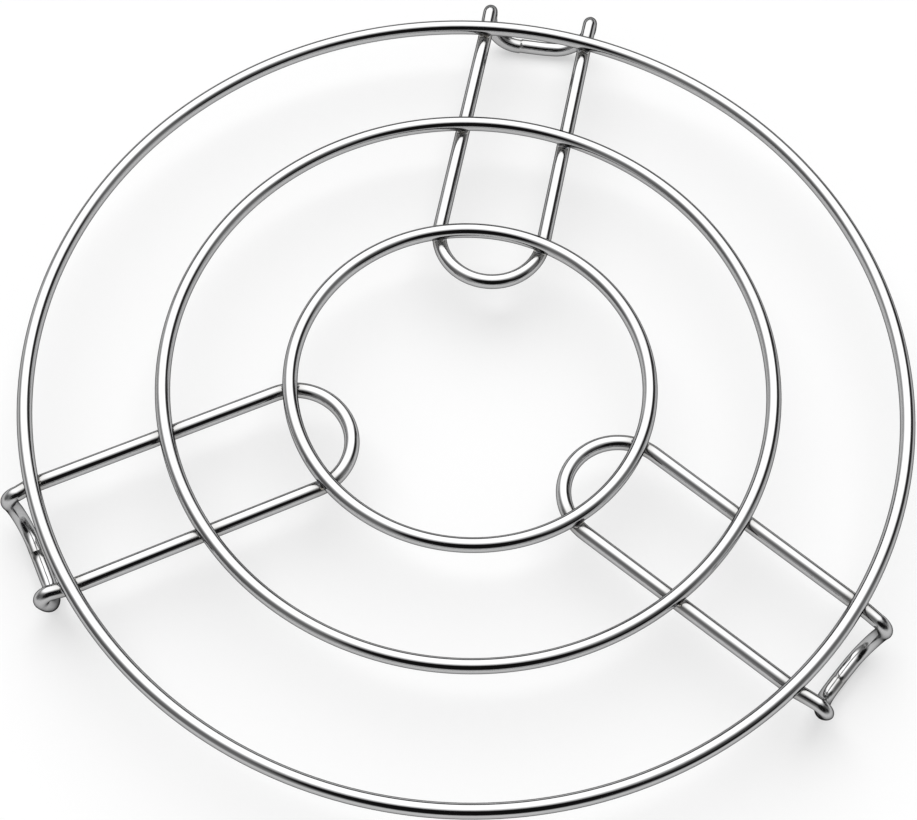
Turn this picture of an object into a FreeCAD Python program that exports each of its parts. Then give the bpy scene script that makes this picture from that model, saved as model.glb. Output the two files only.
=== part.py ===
import FreeCAD, Part
import Sketcher
import os
from math import radians

# Three-ring wire trivet for a gas stove. Three concentric rings of round
# steel wire lie in one plane and carry the pan. They are spot welded on top
# of three legs, each a single wire bent into a long hairpin that runs out
# under the rings and turns down into a looped foot.
# Millimetres. The origin is on the table, on the axis of the rings.

document = FreeCAD.newDocument("trivet")
sheet = document.addObject("Spreadsheet::Sheet", "Sizes")

# Driving sizes. Radii of rings and bends are measured to the middle of the wire.
DRIVING_SIZES = {
    "wire_diameter": 3.4,
    "outer_ring_radius": 98.3,
    "middle_ring_radius": 68.2,
    "inner_ring_radius": 40.2,
    # how far each ring is pressed into the legs by its spot welds
    "weld_sink": 0.3,
    # between the middles of the two arms of one leg
    "arm_spacing": 24.9,
    "foot_bend_radius": 2.4,
    # the foot leans in under the outer ring, measured from upright
    "foot_lean_angle": 12.5,
    # straight wire between the bend and the rounded corner of the foot
    "foot_side_length": 0.4,
    "foot_corner_radius": 8.0,
    # The legs were bent and set by hand. Each is a little askew and to one side
    # of its radius. The overhangs say how far its round end reaches in past the
    # inner ring, and its bends reach out past the outer ring.
    "leg_1_angle": 90.0,
    "leg_1_shift": 2.6,
    "leg_1_inner_overhang": 12.4,
    "leg_1_outer_overhang": 8.9,
    "leg_2_angle": 215.2,
    "leg_2_shift": -2.7,
    "leg_2_inner_overhang": 11.5,
    "leg_2_outer_overhang": 6.0,
    "leg_3_angle": 331.4,
    "leg_3_shift": 0.9,
    "leg_3_inner_overhang": 10.5,
    "leg_3_outer_overhang": 7.2,
}

# Sizes that follow from the driving ones. In a leg's own frame its arms run
# along X, so a reach is measured along X and a shift along Y.
DERIVED_SIZES = {
    "wire_radius": "wire_diameter / 2",
    "half_spacing": "arm_spacing / 2",
    # the arm turns down through a right angle and the lean besides
    "foot_bend_angle": "90 + foot_lean_angle",
    "foot_drop": "foot_side_length + foot_corner_radius",
    # the bend ends, and the looped foot starts, a little outside the bend's axis
    "foot_top_offset": "foot_bend_radius * cos(foot_lean_angle * 1deg)",
    "foot_top_height": "wire_radius + foot_drop * cos(foot_lean_angle * 1deg)",
    "bend_axis_height": "foot_top_height + foot_bend_radius * sin(foot_lean_angle * 1deg)",
    "arm_height": "bend_axis_height + foot_bend_radius",
    "ring_height": "arm_height + wire_diameter - weld_sink",
}

RINGS = {
    "ring_outer": "outer_ring_radius",
    "ring_middle": "middle_ring_radius",
    "ring_inner": "inner_ring_radius",
}
LEGS = ("leg_1", "leg_2", "leg_3")

for leg in LEGS:
    DERIVED_SIZES.update({
        leg + "_round_end_reach": "inner_ring_radius - %s_inner_overhang + half_spacing" % leg,
        leg + "_bend_reach": "outer_ring_radius + %s_outer_overhang - foot_bend_radius" % leg,
        leg + "_foot_reach": "%s_bend_reach + foot_top_offset" % leg,
    })

# How a constraint names the sketch's origin, its axes and the points of an edge
ORIGIN = (-1, 1)
X_AXIS, Y_AXIS = -1, -2
START, END, MIDDLE = range(1, 4)

UPRIGHT = FreeCAD.Vector(0, 0, 1)


def fill_sheet():
    rows = [(alias, str(value)) for alias, value in DRIVING_SIZES.items()]
    rows += [(alias, "=" + formula) for alias, formula in DERIVED_SIZES.items()]
    for number, (alias, content) in enumerate(rows, start=1):
        sheet.set("A%d" % number, alias)
        sheet.set("B%d" % number, content)
        sheet.setAlias("B%d" % number, alias)
    document.recompute()


def size(alias):
    return float(sheet.get(alias))


def new_body(name):
    body = document.addObject("PartDesign::Body", name)
    body.Label = name
    return body


def new_sketch(body, name, plane_role, moves=None, lean_axis=None):
    """A sketch on one of the body's own planes, moved and leaned by sizes."""
    sketch = body.newObject("Sketcher::SketchObject", body.Label + "_" + name)
    plane = [item for item in body.Origin.OriginFeatures if item.Role == plane_role][0]
    sketch.AttachmentSupport = [(plane, "")]
    sketch.MapMode = "FlatFace"
    if lean_axis:
        lean = FreeCAD.Rotation(FreeCAD.Vector(*lean_axis), size("foot_lean_angle"))
        sketch.AttachmentOffset = FreeCAD.Placement(FreeCAD.Vector(), lean)
        sketch.setExpression("AttachmentOffset.Rotation.Angle", "Sizes.foot_lean_angle")
    for direction, alias in (moves or {}).items():
        sketch.setExpression("AttachmentOffset.Base." + direction, "Sizes." + alias)
    return sketch


def tie(sketch, kind, where, alias):
    """Add a dimension to the sketch and tie it to a size of the sheet."""
    index = sketch.addConstraint(Sketcher.Constraint(kind, *where, size(alias)))
    sketch.setExpression("Constraints[%d]" % index, "Sizes." + alias)


def add_wire_section(sketch, across, up, side=1):
    """The round section of the wire; with no size across, it is on the Y axis."""
    middle = FreeCAD.Vector(side * size(across) if across else 0, size(up), 0)
    circle = sketch.addGeometry(Part.Circle(middle, UPRIGHT, size("wire_radius")))
    tie(sketch, "Radius", (circle,), "wire_radius")
    tie(sketch, "DistanceY", (*ORIGIN, circle, MIDDLE), up)
    if not across:
        sketch.addConstraint(Sketcher.Constraint("PointOnObject", circle, MIDDLE, Y_AXIS))
    elif side > 0:
        tie(sketch, "DistanceX", (*ORIGIN, circle, MIDDLE), across)
    else:
        tie(sketch, "DistanceX", (circle, MIDDLE, *ORIGIN), across)


def add_line(sketch, start, end, direction):
    line = Part.LineSegment(FreeCAD.Vector(*start), FreeCAD.Vector(*end))
    edge = sketch.addGeometry(line)
    sketch.addConstraint(Sketcher.Constraint(direction, edge))
    return edge


def add_arc(sketch, middle, radius_alias, from_angle, to_angle):
    circle = Part.Circle(FreeCAD.Vector(*middle), UPRIGHT, size(radius_alias))
    edge = sketch.addGeometry(Part.ArcOfCircle(circle, radians(from_angle), radians(to_angle)))
    tie(sketch, "Radius", (edge,), radius_alias)
    return edge


def join_smoothly(sketch, first, second):
    """Two edges meet end to end with no kink; each is given as edge and point."""
    sketch.addConstraint(Sketcher.Constraint("Tangent", *first, *second))


def sweep_wire(body, name, section, path):
    document.recompute()
    wire = body.newObject("PartDesign::AdditivePipe", body.Label + "_" + name)
    wire.Profile = section
    wire.Spine = path
    document.recompute()


def make_ring(name, radius):
    """A ring is the wire's round section taken once round the upright axis."""
    body = new_body(name)
    section = new_sketch(body, "section", "XZ_Plane")
    add_wire_section(section, radius, "ring_height")
    ring = body.newObject("PartDesign::Revolution", name + "_wire")
    ring.Profile = section
    ring.ReferenceAxis = (section, ["V_Axis"])
    ring.Angle = 360
    document.recompute()


def make_hairpin(body, leg):
    """Two level arms joined by a round end, under the rings."""
    inner_alias, outer_alias = leg + "_round_end_reach", leg + "_bend_reach"
    half, inner, outer = size("half_spacing"), size(inner_alias), size(outer_alias)
    path = new_sketch(
        body, "hairpin_path", "XY_Plane", {"y": leg + "_shift", "z": "arm_height"})
    first_arm = add_line(path, (outer, half), (inner, half), "Horizontal")
    round_end = add_arc(path, (inner, 0), "half_spacing", 90, 270)
    second_arm = add_line(path, (inner, -half), (outer, -half), "Horizontal")
    join_smoothly(path, (first_arm, END), (round_end, START))
    join_smoothly(path, (round_end, END), (second_arm, START))
    path.addConstraint(Sketcher.Constraint("PointOnObject", round_end, MIDDLE, X_AXIS))
    tie(path, "DistanceX", (*ORIGIN, round_end, MIDDLE), inner_alias)
    tie(path, "DistanceX", (*ORIGIN, first_arm, START), outer_alias)
    tie(path, "DistanceX", (*ORIGIN, second_arm, END), outer_alias)
    section = new_sketch(
        body, "hairpin_section", "YZ_Plane", {"x": leg + "_shift", "z": outer_alias})
    add_wire_section(section, "half_spacing", "arm_height")
    sweep_wire(body, "hairpin", section, path)


def make_bends(body, leg):
    """Both arms turn down side by side, about one level axis across the leg."""
    axis_place = {"x": leg + "_shift", "y": "bend_axis_height", "z": leg + "_bend_reach"}
    sections = new_sketch(body, "bend_sections", "YZ_Plane", axis_place)
    for side in (1, -1):
        add_wire_section(sections, "half_spacing", "foot_bend_radius", side)
    bends = body.newObject("PartDesign::Revolution", body.Label + "_bends")
    bends.Profile = sections
    bends.ReferenceAxis = (sections, ["H_Axis"])
    bends.setExpression("Angle", "Sizes.foot_bend_angle")
    document.recompute()


def make_foot(body, leg):
    """The looped foot: down one side, along the table and up the other side."""
    half, corner, drop = size("half_spacing"), size("foot_corner_radius"), size("foot_drop")
    corner_height = corner - drop
    path = new_sketch(
        body, "foot_path", "YZ_Plane",
        {"x": leg + "_shift", "y": "foot_top_height", "z": leg + "_foot_reach"},
        lean_axis=(1, 0, 0))
    first_side = add_line(path, (half, 0), (half, corner_height), "Vertical")
    first_corner = add_arc(path, (half - corner, corner_height), "foot_corner_radius", 270, 360)
    floor_wire = add_line(path, (half - corner, -drop), (corner - half, -drop), "Horizontal")
    second_corner = add_arc(path, (corner - half, corner_height), "foot_corner_radius", 180, 270)
    second_side = add_line(path, (-half, corner_height), (-half, 0), "Vertical")
    join_smoothly(path, (first_side, END), (first_corner, END))
    join_smoothly(path, (first_corner, START), (floor_wire, START))
    join_smoothly(path, (floor_wire, END), (second_corner, END))
    join_smoothly(path, (second_corner, START), (second_side, START))
    for point in ((first_side, START), (second_side, END)):
        path.addConstraint(Sketcher.Constraint("PointOnObject", *point, X_AXIS))
    tie(path, "DistanceX", (*ORIGIN, first_side, START), "half_spacing")
    tie(path, "DistanceX", (second_side, END, *ORIGIN), "half_spacing")
    tie(path, "DistanceY", (floor_wire, START, *ORIGIN), "foot_drop")
    section = new_sketch(
        body, "foot_section", "XY_Plane",
        {"x": leg + "_foot_reach", "y": leg + "_shift", "z": "foot_top_height"},
        lean_axis=(0, 1, 0))
    add_wire_section(section, None, "half_spacing")
    sweep_wire(body, "foot", section, path)


def make_weld_seats(body):
    """Shallow saddles where the three rings sink into the arms."""
    rings = new_sketch(body, "ring_sections", "XZ_Plane")
    for radius in RINGS.values():
        add_wire_section(rings, radius, "ring_height")
    before = body.Shape.Volume
    seats = body.newObject("PartDesign::Groove", body.Label + "_weld_seats")
    seats.Profile = rings
    seats.ReferenceAxis = (rings, ["V_Axis"])
    seats.Angle = 360
    document.recompute()
    if body.Shape.Volume >= before:
        raise ValueError(body.Label + ": the weld seats cut nothing")


def make_leg(name):
    """One leg: a closed wire of hairpin, two bends and looped foot."""
    body = new_body(name)
    make_hairpin(body, name)
    make_bends(body, name)
    make_foot(body, name)
    make_weld_seats(body)
    turned = FreeCAD.Rotation(UPRIGHT, size(name + "_angle"))
    body.Placement = FreeCAD.Placement(FreeCAD.Vector(), turned)
    body.setExpression("Placement.Rotation.Angle", "Sizes." + name + "_angle")


def check_document():
    document.recompute()
    for item in document.Objects:
        if "Invalid" in item.State or "Error" in item.State:
            raise ValueError(item.Label + " did not build")
    for name in (*RINGS, *LEGS):
        shape = document.getObject(name).Shape
        if shape.isNull() or not shape.isValid() or len(shape.Solids) != 1:
            raise ValueError(name + " is not one sound solid")


fill_sheet()
for name, radius in RINGS.items():
    make_ring(name, radius)
for name in LEGS:
    make_leg(name)
check_document()

os.makedirs("parts", exist_ok=True)
for name in (*RINGS, *LEGS):
    document.getObject(name).Shape.exportStep("parts/" + name + ".step")
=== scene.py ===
import bpy
from itertools import product
from math import cos, pi, radians, sin
from mathutils import Matrix, Vector


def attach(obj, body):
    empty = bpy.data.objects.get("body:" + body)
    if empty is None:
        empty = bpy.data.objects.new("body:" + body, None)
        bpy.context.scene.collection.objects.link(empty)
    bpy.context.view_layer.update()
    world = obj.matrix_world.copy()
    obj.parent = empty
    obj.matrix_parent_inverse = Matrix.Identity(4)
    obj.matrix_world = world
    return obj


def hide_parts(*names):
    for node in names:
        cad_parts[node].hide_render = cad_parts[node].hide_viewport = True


# A three-ring wire trivet for a gas stove, in bright polished stainless wire.
# Metres. The origin is on the table, on the axis of the rings.
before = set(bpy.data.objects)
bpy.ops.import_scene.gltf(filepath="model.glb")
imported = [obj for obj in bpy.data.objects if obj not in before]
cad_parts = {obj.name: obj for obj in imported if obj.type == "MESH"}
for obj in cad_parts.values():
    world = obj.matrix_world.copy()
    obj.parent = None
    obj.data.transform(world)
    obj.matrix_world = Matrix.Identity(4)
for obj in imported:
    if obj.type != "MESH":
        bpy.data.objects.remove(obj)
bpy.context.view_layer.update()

# ---------------------------------------------------------------- rings
# Three rings of round stainless wire, each rolled from a straight length, butt
# welded end to end and polished. They lie level on the legs and carry the pan.
WIRE_RADIUS = 0.0017
RING_RADII = {"ring_outer": 0.0983, "ring_middle": 0.0682, "ring_inner": 0.0402}
RING_HEIGHT = 0.01592
# no ring was rolled quite round or welded on quite central: how far each is off
# centre along X and Y, and how much wider and longer it is than a true circle
RING_SETS = {
    "ring_outer": (-0.00043, -0.00040, 0.00019, 0.00022),
    "ring_middle": (-0.00040, 0.00083, 0.00022, 0.00050),
    "ring_inner": (0.00010, -0.00037, 0.00015, -0.00037),
}
# each ring's butt weld, in degrees round from +X, lies over the left arm of leg_1,
# where the spot weld hides it
RING_JOINTS = {"ring_outer": 98.8, "ring_middle": 102.7, "ring_inner": 111.0}
# how finely a wire is divided round itself, and a ring round its middle
WIRE_SIDES = 32
RING_STEPS = 240
# the two ends of a wire are one where they are no further apart than this
SAME_POINT = 0.00001


class Wire:
    """A wire that is made from one end to the other by straight runs and bends.

    Each step adds one section of WIRE_SIDES points, so a point's number says
    which section it belongs to.
    """

    def __init__(self, name, middle, turn):
        """Cut the first end square, as a circle of points round its middle."""
        bpy.ops.object.select_all(action="DESELECT")
        bpy.ops.mesh.primitive_circle_add(
            vertices=WIRE_SIDES, radius=WIRE_RADIUS, location=middle, rotation=turn)
        self.piece = bpy.context.object
        self.piece.name = name
        bpy.ops.object.transform_apply(location=True, rotation=True, scale=True)
        bpy.ops.object.mode_set(mode="EDIT")
        bpy.ops.mesh.select_mode(type="VERT")
        bpy.ops.mesh.select_all(action="SELECT")
        # how far along the wire each section is, and how hard it was worked there
        self.along, self.worked = [0.0], [0.0]

    def run(self, way, steps=1):
        """The wire goes straight on."""
        step = Vector(way) / steps
        for _ in range(steps):
            bpy.ops.mesh.extrude_region_move(TRANSFORM_OT_translate={"value": step})
            self.along.append(self.along[-1] + step.length)
            self.worked.append(0.0)

    def bend(self, middle, axis, angle, radius, steps, strain=0.0):
        """The wire is bent round an axis; Spin counts its angle clockwise."""
        bpy.ops.mesh.spin(steps=steps, angle=-angle, center=middle, axis=axis)
        for step in range(1, steps + 1):
            self.along.append(self.along[-1] + radius * abs(angle) / steps)
            self.worked.append(strain * sin(pi * step / steps) ** 0.5)

    def close(self, lift=()):
        """Lay out the surface along the wire, then join its two ends.

        lift is how much each section is raised first.
        """
        bpy.ops.object.mode_set(mode="OBJECT")
        mesh = self.piece.data
        strain = mesh.attributes.new("worked", "FLOAT", "POINT")
        for vertex in mesh.vertices:
            section = vertex.index // WIRE_SIDES
            strain.data[vertex.index].value = self.worked[section]
            if lift:
                vertex.co.z += lift[section]
        layout = mesh.uv_layers.new(name="along_wire")
        for face in mesh.polygons:
            turns = [mesh.loops[i].vertex_index % WIRE_SIDES for i in face.loop_indices]
            over_the_seam = max(turns) - min(turns) > 1
            for i, turn in zip(face.loop_indices, turns):
                section = mesh.loops[i].vertex_index // WIRE_SIDES
                if over_the_seam and turn == 0:
                    turn = WIRE_SIDES
                layout.data[i].uv = (self.along[section], turn / WIRE_SIDES)
        bpy.ops.object.mode_set(mode="EDIT")
        bpy.ops.mesh.select_all(action="SELECT")
        bpy.ops.mesh.remove_doubles(threshold=SAME_POINT)
        bpy.ops.mesh.normals_make_consistent(inside=False)
        bpy.ops.mesh.faces_shade_smooth()
        bpy.ops.object.mode_set(mode="OBJECT")
        return self.piece


def add_node(tree, kind, links=(), **values):
    """A shader node with its settings, and its inputs linked from other sockets."""
    node = tree.nodes.new(kind)
    for name, value in values.items():
        if hasattr(node, name):
            setattr(node, name, value)
        else:
            node.inputs[name.replace("_", " ")].default_value = value
    for name, socket in dict(links).items():
        tree.links.new(socket, node.inputs[name])
    return node


def set_or_link(tree, entry, value):
    """Give a node's input a fixed value, or link it from another socket."""
    if isinstance(value, bpy.types.NodeSocket):
        tree.links.new(value, entry)
    else:
        entry.default_value = value


def reckon(tree, operation, *values):
    """A sum worked out by the shader from fixed values and sockets."""
    node = add_node(tree, "ShaderNodeMath", operation=operation)
    for entry, value in zip(node.inputs, values):
        set_or_link(tree, entry, value)
    return node.outputs[0]


def blend(tree, share, first, second):
    """A first colour with a share of a second one laid over it."""
    node = add_node(tree, "ShaderNodeMix", {"Factor": share}, data_type="RGBA")
    set_or_link(tree, node.inputs["A"], first)
    set_or_link(tree, node.inputs["B"], second)
    return node.outputs["Result"]


def new_group(name, inputs, outputs):
    """A shader node group, its input and output nodes, with named sockets."""
    group = bpy.data.node_groups.new(name, "ShaderNodeTree")
    for label, default in inputs.items():
        socket = group.interface.new_socket(
            label, in_out="INPUT", socket_type="NodeSocketFloat")
        socket.default_value = default
    for label in outputs:
        group.interface.new_socket(label, in_out="OUTPUT", socket_type="NodeSocketFloat")
    return group, group.nodes.new("NodeGroupInput"), group.nodes.new("NodeGroupOutput")


# Drawn wire: the die leaves faint lines along it, and handling leaves it a little
# uneven. The layout along the wire is wound back round it, so no seam shows.
drawn, given, out = new_group(
    "drawn_wire", {"Line Depth": 1.0, "Unevenness": 1.0}, ("Lines", "Height", "Smudges"))
layout = add_node(drawn, "ShaderNodeUVMap", uv_map="along_wire")
parts = add_node(drawn, "ShaderNodeSeparateXYZ", {"Vector": layout.outputs["UV"]})
round_wire = reckon(drawn, "MULTIPLY", parts.outputs["Y"], 2 * pi)
# the marks on the wire: how short they are along it, how fine they are round it,
# and how much finer detail they hold
MARKS = (
    ("Lines", 18.0, 9.0, 3.0),
    ("Smudges", 90.0, 1.3, 2.0),
    ("Waves", 45.0, 0.9, 0.0),
)
marks = {}
for label, lengthwise, scale, detail in MARKS:
    place = add_node(drawn, "ShaderNodeCombineXYZ", {
        "X": reckon(drawn, "COSINE", round_wire),
        "Y": reckon(drawn, "SINE", round_wire),
        "Z": reckon(drawn, "MULTIPLY", parts.outputs["X"], lengthwise)})
    noise = add_node(drawn, "ShaderNodeTexNoise", {"Vector": place.outputs[0]},
                     Scale=scale, Detail=detail, Roughness=0.6)
    marks[label] = noise.outputs["Fac"]
fine = reckon(drawn, "MULTIPLY", marks["Lines"], given.outputs["Line Depth"])
slow = reckon(drawn, "MULTIPLY", marks["Waves"], given.outputs["Unevenness"])
drawn.links.new(marks["Lines"], out.inputs["Lines"])
drawn.links.new(reckon(drawn, "ADD", fine, slow), out.inputs["Height"])
drawn.links.new(marks["Smudges"], out.inputs["Smudges"])

# the steel in and between the drawn lines, and where the heat of a weld dulled it
STEEL_IN_LINES = (0.44, 0.44, 0.445, 1.0)
STEEL_BETWEEN = (0.52, 0.52, 0.52, 1.0)
STEEL_HEATED = (0.34, 0.335, 0.325, 1.0)
# how rough the best and the poorest polish is, and what hard bending and heat add
BEST_POLISH, POOREST_POLISH = 0.035, 0.1
ADDED_BY_BENDING, ADDED_BY_HEAT = 0.16, 0.2
# how deep the lines and the waves of the polish go, and how strongly they show
BUMP_DEPTH, BUMP_STRENGTH = 0.00001, 0.35


def polished_steel(name, line_depth, unevenness):
    """Bright drawn stainless wire, duller where it was bent, tinted at its welds."""
    steel = bpy.data.materials.new(name)
    steel.use_nodes = True
    tree = steel.node_tree
    shader = tree.nodes["Principled BSDF"]
    shader.inputs["Metallic"].default_value = 1.0
    # painted shade: the edge tint is set black, so the reflection darkens where the wire
    # turns out of sight
    shader.inputs["Specular Tint"].default_value = (0.0, 0.0, 0.0, 1.0)
    surface = tree.nodes.new("ShaderNodeGroup")
    surface.node_tree = drawn
    surface.inputs["Line Depth"].default_value = line_depth
    surface.inputs["Unevenness"].default_value = unevenness
    worked = add_node(tree, "ShaderNodeAttribute", attribute_name="worked")
    heat = add_node(tree, "ShaderNodeAttribute", attribute_name="weld_heat")
    polish = add_node(tree, "ShaderNodeMapRange", {"Value": surface.outputs["Smudges"]},
                      From_Min=0.3, From_Max=0.75,
                      To_Min=BEST_POLISH, To_Max=POOREST_POLISH)
    roughness = reckon(tree, "MULTIPLY_ADD",
                       worked.outputs["Fac"], ADDED_BY_BENDING, polish.outputs[0])
    roughness = reckon(tree, "MULTIPLY_ADD",
                       heat.outputs["Fac"], ADDED_BY_HEAT, roughness)
    tree.links.new(roughness, shader.inputs["Roughness"])
    shade = blend(tree, surface.outputs["Lines"], STEEL_IN_LINES, STEEL_BETWEEN)
    shade = blend(tree, heat.outputs["Fac"], shade, STEEL_HEATED)
    tree.links.new(shade, shader.inputs["Base Color"])
    bump = add_node(tree, "ShaderNodeBump", {"Height": surface.outputs["Height"]},
                    Distance=BUMP_DEPTH, Strength=BUMP_STRENGTH)
    tree.links.new(bump.outputs["Normal"], shader.inputs["Normal"])
    return steel


def dress(piece, node, steel):
    """Give a wire its steel, and let it stand in for its solid."""
    piece.data.materials.append(steel)
    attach(piece, "root")
    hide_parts(node)


ring_steel = polished_steel("ring_steel", line_depth=0.5, unevenness=1.0)
wires = {}
for name, radius in RING_RADII.items():
    start = radians(RING_JOINTS[name])
    middle = (radius * cos(start), radius * sin(start), RING_HEIGHT)
    ring = Wire(name + "_wire", middle, (pi / 2, 0, start))
    ring.bend((0, 0, RING_HEIGHT), (0, 0, 1), 2 * pi, radius, RING_STEPS)
    wires[name] = ring.close()
    off_x, off_y, wider, longer = RING_SETS[name]
    for vertex in wires[name].data.vertices:
        outward = vertex.co.xy.normalized()
        vertex.co.x += off_x + wider * outward.x
        vertex.co.y += off_y + longer * outward.y
    dress(wires[name], name, ring_steel)

# ---------------------------------------------------------------- legs
# Each leg is one wire: a hairpin whose arms run out under the rings, two bends
# down, and a looped foot on the table, where the ends of the wire are butt welded.
HALF_SPACING = 0.01245
BEND_RADIUS = 0.0024
LEAN = radians(12.5)
SIDE = 0.0004
CORNER = 0.0080
ARM_HEIGHT = WIRE_RADIUS + (SIDE + CORNER) * cos(LEAN) + BEND_RADIUS * (1 + sin(LEAN))
INNER_RADIUS, OUTER_RADIUS = RING_RADII["ring_inner"], RING_RADII["ring_outer"]
# a leg is made along +X, its left arm towards +Y, and then turned to its place:
# each leg's angle, shift to its left, overhang inside the inner ring and outside
# the outer ring, as it was bent and set by hand
LEGS = {
    "leg_1": (90.0, 0.0026, 0.0124, 0.0089),
    "leg_2": (215.2, -0.0027, 0.0115, 0.0060),
    "leg_3": (331.4, 0.0009, 0.0105, 0.0072),
}
# how each leg is turned, and how far out its round end stops and its bends start
TURNS = {
    leg: Matrix.Rotation(radians(angle), 4, "Z")
    for leg, (angle, _, _, _) in LEGS.items()}
REACHES = {
    leg: (INNER_RADIUS - inner_overhang + HALF_SPACING,
          OUTER_RADIUS + outer_overhang - BEND_RADIUS)
    for leg, (_, _, inner_overhang, outer_overhang) in LEGS.items()}
# what the hand bending left: how far each foot's two bends and its two floor ends
# stand out, and how far the floor ends stand in, on its left and its right
FOOT_SETS = {
    "leg_1": ((-0.0013, 0.0002), (-0.0016, 0.0009), (0.0, 0.0)),
    "leg_2": ((0.0009, -0.0003), (-0.0003, -0.0003), (-0.0006, 0.0)),
    "leg_3": ((-0.0005, 0.0006), (-0.0004, -0.0003), (-0.0005, 0.0021)),
}
# how far the middle of each foot is pressed in towards the rings
FOOT_SAGS = {"leg_1": 0.0006, "leg_2": 0.0, "leg_3": 0.0003}
# how much the left and the right arm stand further apart than they should, under
# the outer ring, at the round end and at the bends down
ARM_SETS = {
    "leg_1": ((-0.00020, -0.00014), (-0.00025, -0.00022), (0.0, 0.0)),
    "leg_2": ((0.00060, 0.00060), (0.00015, 0.00060), (0.0, 0.0)),
    "leg_3": ((-0.00014, -0.00020), (0.00017, 0.0), (-0.00050, -0.00090)),
}
# where the two ends of the wire meet, left of the foot's middle, the step between
# them, the notch at the joint, and how far from the joint the higher end comes up
FOOT_JOINTS = {
    "leg_1": (0.0042, 0.0003), "leg_2": (-0.0022, 0.0004), "leg_3": (-0.0012, 0.0001)}
JOINT_GAP = 0.00015
RISING_LENGTH = 0.006
# how finely the bends, the arms, the round end and the floor wire are divided
BEND_STEPS, ARM_STEPS, ROUND_STEPS = 24, 24, 64
FIRST_FLOOR_STEPS, LAST_FLOOR_STEPS = 4, 8
# how hard each kind of bend works the wire, next to the tightest one
CORNER_STRAIN, BEND_STRAIN, ROUND_STRAIN = 0.7, 1.0, 0.2
DOWN = Vector((-sin(LEAN), 0, -cos(LEAN)))
ACROSS = Vector((0, 1, 0))
UP = Vector((0, 0, 1))
FOOT_FACING = DOWN.cross(ACROSS)


def limited(value):
    """A value held between 0 and 1."""
    return min(1.0, max(0.0, value))


def smooth(value):
    """A value held between 0 and 1, eased at both ends."""
    value = limited(value)
    return value * value * (3 - 2 * value)


def past_ring(leg, reach):
    """0 under the outer ring, 1 from where the bends down start, eased between."""
    bend_reach = REACHES[leg][1]
    return smooth((reach - OUTER_RADIUS) / (bend_reach - OUTER_RADIUS))


def arm_offset(leg, reach, across):
    """How far an arm, or the round end between the two, stands to the left."""
    side = 0 if across > 0 else 1
    outside, inside, at_bend = (pair[side] for pair in ARM_SETS[leg])
    round_end = REACHES[leg][0]
    along = limited((reach - round_end) / (OUTER_RADIUS - round_end))
    apart = inside + along * (outside - inside)
    apart += past_ring(leg, reach) * (at_bend - apart)
    return (1 - 2 * side) * apart * min(1.0, abs(across) / HALF_SPACING)


def bend_by_hand(leg, mesh):
    """Move a true leg's points to where the hand bending left them."""
    (left_top, right_top), (left_floor, right_floor), (left_in, right_in) = FOOT_SETS[leg]
    for vertex in mesh.vertices:
        outside = past_ring(leg, vertex.co.x)
        # 1 at the left arm and 0 at the right, then 0 at the arms and 1 on the table
        left = limited(0.5 + 0.5 * vertex.co.y / HALF_SPACING)
        depth = limited((ARM_HEIGHT - vertex.co.z) / (ARM_HEIGHT - WIRE_RADIUS))
        at_top = left * left_top + (1 - left) * right_top
        at_floor = left * left_floor + (1 - left) * right_floor
        vertex.co.x += outside * (at_top + depth * (at_floor - at_top))
        vertex.co.x -= outside * depth * FOOT_SAGS[leg] * 4 * left * (1 - left)
        vertex.co.y -= outside * depth * (left * left_in - (1 - left) * right_in)
        vertex.co.y += arm_offset(leg, vertex.co.x, vertex.co.y)


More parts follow.
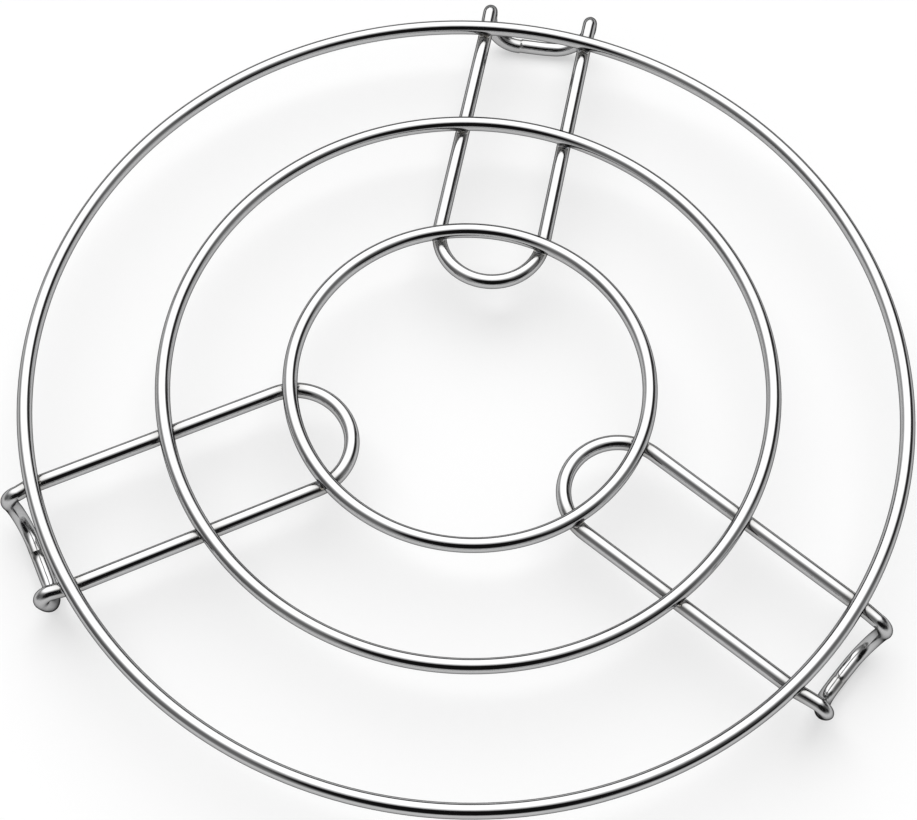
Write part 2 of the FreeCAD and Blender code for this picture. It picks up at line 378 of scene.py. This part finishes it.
leg_steel = polished_steel("leg_steel", line_depth=1.5, unevenness=1.6)
joint_places = {}
for name, (_, shift, _, _) in LEGS.items():
    round_end, bend_reach = REACHES[name]
    arm = Vector((bend_reach - round_end, 0, 0))
    round_middle = Vector((round_end, 0, ARM_HEIGHT))
    bend_middle = Vector((bend_reach, 0, ARM_HEIGHT - BEND_RADIUS))
    foot_top = bend_middle + BEND_RADIUS * Vector((cos(LEAN), 0, -sin(LEAN)))
    floor_middle = foot_top + DOWN * (SIDE + CORNER)
    half_floor = ACROSS * (HALF_SPACING - CORNER)
    left_corner = floor_middle + half_floor - DOWN * CORNER
    right_corner = floor_middle - half_floor - DOWN * CORNER
    joint_place, joint_step = FOOT_JOINTS[name]
    joint = floor_middle + ACROSS * joint_place

    # from the joint to the left, up, in along the left arm, and back on the right
    leg = Wire(name + "_wire", joint, (pi / 2, 0, 0))
    leg.run(half_floor - ACROSS * joint_place, FIRST_FLOOR_STEPS)
    leg.bend(left_corner, FOOT_FACING, pi / 2, CORNER, BEND_STEPS, CORNER_STRAIN)
    leg.run(-DOWN * SIDE)
    leg.bend(bend_middle, ACROSS, -(pi / 2 + LEAN), BEND_RADIUS, BEND_STEPS, BEND_STRAIN)
    leg.run(-arm, ARM_STEPS)
    leg.bend(round_middle, UP, pi, HALF_SPACING, ROUND_STEPS, ROUND_STRAIN)
    leg.run(arm, ARM_STEPS)
    leg.bend(bend_middle, ACROSS, pi / 2 + LEAN, BEND_RADIUS, BEND_STEPS, BEND_STRAIN)
    leg.run(DOWN * SIDE)
    leg.bend(right_corner, FOOT_FACING, pi / 2, CORNER, BEND_STEPS, CORNER_STRAIN)
    leg.run(half_floor + ACROSS * (joint_place - JOINT_GAP), LAST_FLOOR_STEPS)
    leg.run(ACROSS * JOINT_GAP)

    # the last end comes up over the first one, and steps down to it in the notch
    lifted = [joint_step * max(0.0, 1.0 - (leg.along[-1] - along) / RISING_LENGTH)
              for along in leg.along]
    lifted[-1] = 0.0
    wires[name] = leg.close(lift=lifted)
    bend_by_hand(name, wires[name].data)
    set_place = TURNS[name] @ Matrix.Translation((0, shift, 0))
    wires[name].matrix_world = set_place
    bpy.ops.object.transform_apply(location=True, rotation=True, scale=True)
    joint_places[name] = set_place @ joint
    dress(wires[name], name, leg_steel)

# ---------------------------------------------------------------- welds
# Eighteen spot welds, one where each arm passes under each ring. The press
# squeezes out a little collar of metal, and the heat dulls both wires round it.
WELD_ALONG, WELD_ACROSS = 0.0015, 0.0013
# how thick the collar's lip is, and how high its middle lies over the arm's top
WELD_LIP, WELD_RISE = 0.00034, 0.00012
# the collar starts as a torus of radius 1, whose tube has this radius
TUBE_RADIUS = 0.26
# how much larger or smaller than the rest a collar may be
SIZE_SPREAD = 0.07
# how far the heat marks reach round a spot weld, and round the joint in a foot
HEAT_REACH, JOINT_HEAT_REACH = 0.0056, 0.0042
# how often the search for a crossing closes in on it
CLOSING_IN = 30


def crossing(leg, side_of_leg, ring):
    """Where a ring crosses the middle of an arm, or of the leg's round end."""
    round_end = REACHES[leg][0]
    radius = reach = RING_RADII[ring]
    off_x, off_y, wider, longer = RING_SETS[ring]
    for _ in range(CLOSING_IN):
        into_round = max(0.0, round_end - reach)
        across = side_of_leg * (HALF_SPACING ** 2 - into_round ** 2) ** 0.5
        across += LEGS[leg][1] + arm_offset(leg, reach, across)
        outward = (TURNS[leg] @ Vector((reach, across, 0))).normalized()
        moved = Vector((off_x + wider * outward.x, off_y + longer * outward.y, 0))
        moved = TURNS[leg].transposed() @ moved
        reach = moved.x + (radius ** 2 - (across - moved.y) ** 2) ** 0.5
    return TURNS[leg] @ Vector((reach, across, ARM_HEIGHT))


weld_places = [
    (leg, crossing(leg, side_of_leg, ring))
    for leg, side_of_leg, ring in product(LEGS, (1, -1), RING_RADII)]

for name, piece in wires.items():
    heat = piece.data.attributes.new("weld_heat", "FLOAT", "POINT")
    for vertex in piece.data.vertices:
        nearest = min((vertex.co.xy - place.xy).length for _, place in weld_places)
        level = smooth(1.0 - nearest / HEAT_REACH)
        if name in RING_RADII:
            # on a ring the weld is underneath, and its top is polished again
            level *= smooth((RING_HEIGHT - vertex.co.z) / WIRE_RADIUS)
        elif vertex.co.z < ARM_HEIGHT - WIRE_RADIUS:
            # in a foot only the joint was heated
            from_joint = (vertex.co - joint_places[name]).length
            level = smooth(1.0 - from_joint / JOINT_HEAT_REACH)
        heat.data[vertex.index].value = level

# the squeezed metal is frozen rough, grey with a trace of blue and of straw
weld_steel = bpy.data.materials.new("weld_steel")
weld_steel.use_nodes = True
tree = weld_steel.node_tree
shader = tree.nodes["Principled BSDF"]
shader.inputs["Metallic"].default_value = 1.0
position = add_node(tree, "ShaderNodeTexCoord")
clouds = add_node(tree, "ShaderNodeTexNoise", {"Vector": position.outputs["Object"]},
                  Scale=700.0, Detail=2.0)
grain = add_node(tree, "ShaderNodeTexNoise", {"Vector": position.outputs["Object"]},
                 Scale=2600.0, Detail=3.0)
tint = add_node(tree, "ShaderNodeValToRGB", {"Fac": clouds.outputs["Fac"]})
tint.color_ramp.elements.new(0.5)
WELD_COLOURS = (
    (0.35, (0.30, 0.31, 0.34, 1.0)),
    (0.50, (0.42, 0.42, 0.42, 1.0)),
    (0.65, (0.40, 0.38, 0.34, 1.0)),
)
for element, (stop, colour) in zip(tint.color_ramp.elements, WELD_COLOURS):
    element.position = stop
    element.color = colour
tree.links.new(tint.outputs["Color"], shader.inputs["Base Color"])
dull = add_node(tree, "ShaderNodeMapRange", {"Value": grain.outputs["Fac"]},
                From_Min=0.3, From_Max=0.7, To_Min=0.18, To_Max=0.42)
tree.links.new(dull.outputs[0], shader.inputs["Roughness"])
frozen = add_node(tree, "ShaderNodeBump", {"Height": grain.outputs["Fac"]},
                  Distance=0.00008, Strength=0.6)
tree.links.new(frozen.outputs["Normal"], shader.inputs["Normal"])

bpy.ops.object.select_all(action="DESELECT")
bpy.ops.mesh.primitive_torus_add(
    major_segments=32, minor_segments=10, major_radius=1.0, minor_radius=TUBE_RADIUS)
collar = bpy.context.object
for vertex in collar.data.vertices:
    # the metal came out unevenly, and saddles over the round of the arm
    wobble = 1 + 0.10 * sin(3.1 * vertex.co.x + 1.0) * cos(4.3 * vertex.co.y)
    wobble += 0.05 * sin(9 * vertex.co.y)
    vertex.co.x *= WELD_ALONG * wobble
    vertex.co.y *= WELD_ACROSS * wobble
    saddle = vertex.co.y ** 2 / (2 * WIRE_RADIUS)
    vertex.co.z = vertex.co.z * WELD_LIP / TUBE_RADIUS * wobble + WELD_RISE - saddle
for name in LEGS:
    bpy.ops.object.select_all(action="DESELECT")
    for number, (leg, place) in enumerate(weld_places):
        if leg != name:
            continue
        bead = collar.copy()
        bead.data = collar.data.copy()
        # no two welds alike: each second one is turned round, and sizes differ
        size = 1.0 + SIZE_SPREAD * sin(2.4 * number)
        flip = Matrix.Rotation(pi * (number % 2), 4, "Z")
        bead.data.transform(TURNS[leg] @ flip @ Matrix.Scale(size, 4))
        bead.data.transform(Matrix.Translation(place + Vector((0, 0, WIRE_RADIUS))))
        bpy.context.collection.objects.link(bead)
        bead.select_set(True)
        bpy.context.view_layer.objects.active = bead
    bpy.ops.object.join()
    welds = bpy.context.object
    welds.name = name + "_welds"
    bpy.ops.object.shade_smooth()
    welds.data.materials.append(weld_steel)
    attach(welds, "root")
bpy.data.objects.remove(collar)

# ---------------------------------------------------------------- room, light and camera
# The set: a pale table, one large soft light from above and behind, and the dim
# room round it, which only the polished steel shows.
TABLE_SIZE, ROOM_RADIUS = 6, 2.6
PAPER = (0.9, 0.9, 0.9, 1)
WHITE = (1, 1, 1, 1)
# how much of its brightness the table has of its own
TABLE_GLOW = 0.45
# the soft light's azimuth and elevation, how wide it is, and how strong
LIGHT_BEARING = (112, 53)
LIGHT_WIDTH = radians(70)
LIGHT_STRENGTH = 2.5
# how strongly the white round the room lights the table, and how bright it looks
WHITE_LIGHT, WHITE_SEEN = 0.5, 1.0

bpy.ops.object.select_all(action="DESELECT")
bpy.ops.mesh.primitive_plane_add(size=TABLE_SIZE)
floor = bpy.context.object
floor.name = "floor"
pale = bpy.data.materials.new("pale_floor")
pale.use_nodes = True
tree = pale.node_tree
paper = tree.nodes["Principled BSDF"]
paper.inputs["Base Color"].default_value = PAPER
paper.inputs["Roughness"].default_value = 0.9


def seen_directly(tree, least, most):
    """The higher value for what the camera and the metal see, the lower for the rest."""
    ray = add_node(tree, "ShaderNodeLightPath").outputs
    shown = reckon(tree, "MAXIMUM", ray["Is Camera Ray"], ray["Is Glossy Ray"])
    shown = reckon(tree, "MAXIMUM", shown, ray["Is Transmission Ray"])
    value = add_node(tree, "ShaderNodeMapRange", {"Value": shown},
                     To_Min=least, To_Max=most)
    return value.outputs[0]


# the table glows a little of its own, so the shadow on it stays light
lit = add_node(tree, "ShaderNodeEmission", Color=WHITE, Strength=1.0)
table = add_node(tree, "ShaderNodeMixShader", {
    "Fac": seen_directly(tree, 0.0, TABLE_GLOW)})
tree.links.new(paper.outputs[0], table.inputs[1])
tree.links.new(lit.outputs[0], table.inputs[2])
tree.links.new(table.outputs[0], tree.nodes["Material Output"].inputs["Surface"])
floor.data.materials.append(pale)

bpy.ops.mesh.primitive_uv_sphere_add(segments=48, ring_count=24, radius=ROOM_RADIUS)
room = bpy.context.object
room.name = "room"
bpy.ops.object.mode_set(mode="EDIT")
bpy.ops.mesh.select_all(action="SELECT")
bpy.ops.mesh.bisect(plane_co=(0, 0, 0), plane_no=(0, 0, 1), clear_inner=True)
bpy.ops.mesh.select_all(action="SELECT")
bpy.ops.mesh.normals_make_consistent(inside=True)
bpy.ops.mesh.faces_shade_smooth()
bpy.ops.object.mode_set(mode="OBJECT")
room_glow = bpy.data.materials.new("room_glow")
room_glow.use_nodes = True
tree = room_glow.node_tree
tree.nodes.clear()
seen = add_node(tree, "ShaderNodeTexCoord")
toward = add_node(
    tree, "ShaderNodeVectorMath", {0: seen.outputs["Object"]}, operation="NORMALIZE")
upward = add_node(tree, "ShaderNodeSeparateXYZ", {0: toward.outputs[0]})


def grey(level):
    """A grey of this brightness."""
    return (level, level, level, 1)


def bearing(azimuth, elevation):
    """The direction at this azimuth and elevation, in degrees."""
    azimuth, elevation = radians(azimuth), radians(elevation)
    return Vector((
        cos(elevation) * cos(azimuth), cos(elevation) * sin(azimuth), sin(elevation)))


def brightness_ramp(value, stops):
    """Brightness that follows a value through the stops given."""
    ramp = add_node(tree, "ShaderNodeValToRGB", {"Fac": value})
    ramp.color_ramp.interpolation = "EASE"
    while len(ramp.color_ramp.elements) < len(stops):
        ramp.color_ramp.elements.new(0.5)
    for element, (place, level) in zip(ramp.color_ramp.elements, stops):
        element.position = place
        element.color = grey(level)
    return ramp.outputs["Color"]


def patch(below, azimuth, elevation, inner, outer, level):
    """A soft round patch of the room's wall, over what is already there."""
    dot = add_node(
        tree, "ShaderNodeVectorMath", {0: toward.outputs[0]}, operation="DOT_PRODUCT")
    dot.inputs[1].default_value = bearing(azimuth, elevation)
    mask = add_node(tree, "ShaderNodeMapRange", {"Value": dot.outputs["Value"]},
                    interpolation_type="SMOOTHSTEP",
                    From_Min=cos(radians(outer)), From_Max=cos(radians(inner)))
    return blend(tree, mask.outputs[0], below, grey(level))


# dim walls, paler near the table and under the ceiling: how high, how bright
WALL_STOPS = (
    (0.0, 0.95), (0.10, 0.70), (0.26, 0.38), (0.42, 0.24),
    (0.75, 0.24), (0.97, 0.60), (1.0, 0.80),
)
# each patch's azimuth and elevation, how many degrees from its middle it is full
# and how many it reaches, and how bright it is; a later one covers an earlier one
PATCHES = (
    # the dimmer corner at the left
    (195, 32, 10, 30, 0.32),
    (208, 18, 10, 26, 0.17),
    # the soft light, brightest above and behind, fading towards the ceiling
    (*LIGHT_BEARING, 38, 60, 0.9),
    (*LIGHT_BEARING, 27, 50, 2.3),
    # the dark doorway behind the camera, and dark furniture to the right and behind
    (285, 42, 25, 36, 0.01),
    (330, 27, 11, 19, 0.01),
    (340, 48, 6, 16, 0.10),
    (34, 30, 14, 21, 0.04),
    (56, 10, 10, 15, 0.03),
    # the dark skirting along the back wall
    *((azimuth, -4, 19, 22, 0.02) for azimuth in (60, 78, 96, 114, 132)),
)
walls = brightness_ramp(upward.outputs["Z"], WALL_STOPS)
for values in PATCHES:
    walls = patch(walls, *values)
glow = add_node(tree, "ShaderNodeEmission", {"Color": walls})
add_node(tree, "ShaderNodeOutputMaterial", {"Surface": glow.outputs[0]})
room_glow.cycles.emission_sampling = "NONE"
room.data.materials.append(room_glow)
room.visible_camera = False
room.visible_diffuse = False
room.visible_shadow = False

bpy.ops.object.light_add(type="SUN")
soft_light = bpy.context.object
soft_light.name = "soft_light"
soft_light.data.angle = LIGHT_WIDTH
soft_light.data.energy = LIGHT_STRENGTH
facing = bearing(*LIGHT_BEARING).to_track_quat("Z", "Y")
soft_light.matrix_world = facing.to_matrix().to_4x4()
soft_light.visible_glossy = False

world = bpy.data.worlds.new("studio")
world.use_nodes = True
bpy.context.scene.world = world
tree = world.node_tree
tree.nodes.clear()
sky = add_node(tree, "ShaderNodeBackground", {
    "Strength": seen_directly(tree, WHITE_LIGHT, WHITE_SEEN)}, Color=WHITE)
add_node(tree, "ShaderNodeOutputWorld", {"Surface": sky.outputs[0]})

# the camera stands where the photograph was taken from
CAMERA_AZIMUTH = radians(8.504)
CAMERA_ELEVATION = radians(62.713)
CAMERA_ROLL = radians(2.910)
CAMERA_DISTANCE = 0.46201
CAMERA_AIM = Vector((-0.002269, -0.007668, 0))
# the focal length and the width of the photograph, in its pixels
CAMERA_FOCUS = 2077.68
PHOTO_WIDTH = 917
turned = Matrix.Rotation(CAMERA_AZIMUTH, 3, "Z")
back = turned @ Vector((0, -cos(CAMERA_ELEVATION), sin(CAMERA_ELEVATION)))
level = turned @ Vector((1, 0, 0))
steep = back.cross(level)
right = cos(CAMERA_ROLL) * level + sin(CAMERA_ROLL) * steep
up = cos(CAMERA_ROLL) * steep - sin(CAMERA_ROLL) * level
aim = turned @ CAMERA_AIM + Vector((0, 0, RING_HEIGHT))
bpy.ops.object.camera_add()
camera = bpy.context.object
stand = Matrix((right, up, back)).transposed().to_4x4()
stand.translation = aim + back * CAMERA_DISTANCE
camera.matrix_world = stand
camera.data.lens = CAMERA_FOCUS * camera.data.sensor_width / PHOTO_WIDTH
bpy.context.scene.camera = camera
bpy.context.scene.view_settings.view_transform = "Standard"
